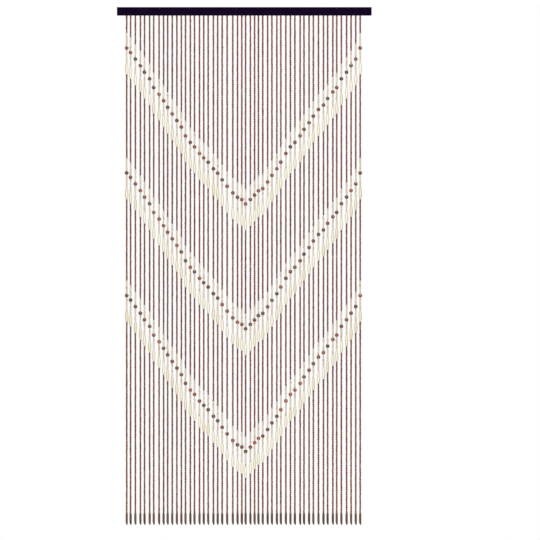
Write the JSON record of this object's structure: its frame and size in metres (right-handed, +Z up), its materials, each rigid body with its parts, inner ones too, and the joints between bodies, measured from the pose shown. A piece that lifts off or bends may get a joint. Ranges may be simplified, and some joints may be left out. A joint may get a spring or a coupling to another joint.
{
  "type": "beaded string door curtain with hanging rail",
  "caption": "Wooden bead string door curtain hanging from a plain flat rail, reddish-brown beads with cream V bands, balls, spindles and end drops.",
  "frame": {"origin": "centre of the rail's flat back face, which lies against the wall or frame over the doorway", "axes": "+X to the right as seen from the front, +Y out of the rail's back into the wall, +Z up; the strands hang along -Z"},
  "size_m": [0.9, 0.016, 1.8301],
  "materials": {
    "black_painted_wood": "satin",
    "bead_wood": "satin"
  },
  "bodies": {
    "root": {"rail": "black_painted_wood", "bead_strands": "bead_wood"}
  },
  "joints": []
}
